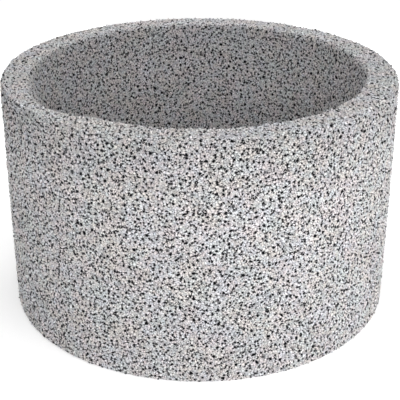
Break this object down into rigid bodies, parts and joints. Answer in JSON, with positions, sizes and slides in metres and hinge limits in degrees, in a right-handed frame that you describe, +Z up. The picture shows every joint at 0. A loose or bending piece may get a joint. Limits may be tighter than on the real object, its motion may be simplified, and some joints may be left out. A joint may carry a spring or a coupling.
{
  "type": "concrete culvert ring",
  "caption": "Short upright ring of thick-walled precast concrete pipe with plain ends, softly rounded arrises and a washed, exposed-grit surface.",
  "frame": {"origin": "where the axis of the bore meets the ground, at the middle of the foot", "axes": "+Z up along the axis of the bore, from the foot to the rim; the ring is the same all round, so X and Y are any two directions square to it"},
  "size_m": [1, 1, 0.61],
  "materials": {
    "concrete": "washed exposed-aggregate concrete: pale grey, white, pinkish and black grit in light grey mortar, dull and dry"
  },
  "bodies": {
    "root": {"culvert_ring": "concrete"}
  },
  "joints": []
}
